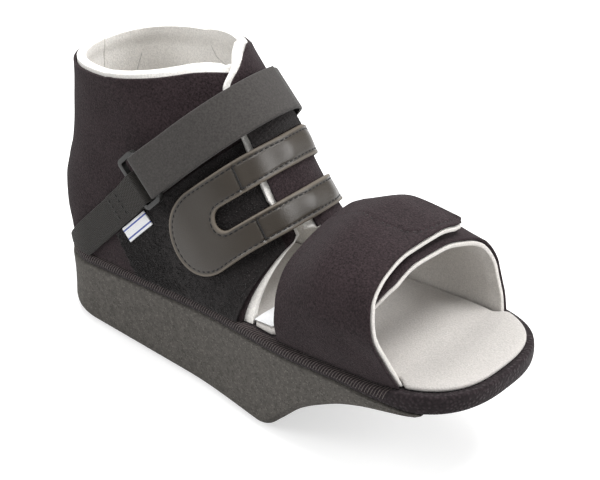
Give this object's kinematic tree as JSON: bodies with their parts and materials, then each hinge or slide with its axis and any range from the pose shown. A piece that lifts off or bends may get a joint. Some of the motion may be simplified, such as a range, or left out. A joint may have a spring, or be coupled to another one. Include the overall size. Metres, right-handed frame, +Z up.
{
  "type": "forefoot offloading shoe",
  "caption": "Post-operative shoe with a foam wedge under heel and midfoot, a raised open toe band, a padded ankle bootee, a ringed ankle strap and a forked instep strap.",
  "frame": {"origin": "middle of the box, on the ground face of the sole", "axes": "+X along the shoe towards the toe, +Z up, -Y towards the side with the ring"},
  "size_m": [0.2728, 0.096, 0.1636],
  "materials": {
    "sole_foam": "matte speckled closed-cell foam",
    "rim_cloth": "knit wrapped round the board, overlocked at the edge",
    "footbed_fleece": "short light fleece",
    "label_cloth": "plain woven label",
    "cover_cloth": "dark brushed velour",
    "lining_fleece": "light padded fleece",
    "loop_pile": "black loop pile",
    "strap_weave": "smooth woven strap",
    "webbing": "ribbed webbing",
    "fork_leather": "smooth grained, stitched along its edges",
    "ring_plastic": "moulded"
  },
  "bodies": {
    "root": {"sole": "sole_foam", "platform": "rim_cloth", "insole": "footbed_fleece", "insole_label": "label_cloth", "near_quarter": "cover_cloth", "near_lining": "lining_fleece", "far_quarter": "cover_cloth", "far_lining": "lining_fleece", "loop_panel": "loop_pile", "near_toe_flap": "cover_cloth", "near_toe_lining": "lining_fleece", "far_toe_flap": "cover_cloth", "far_toe_lining": "lining_fleece", "ankle_strap": "strap_weave", "anchor_webbing": "webbing", "strap_ring": "ring_plastic", "side_tag": "label_cloth", "fork_strap": "fork_leather"}
  },
  "joints": []
}
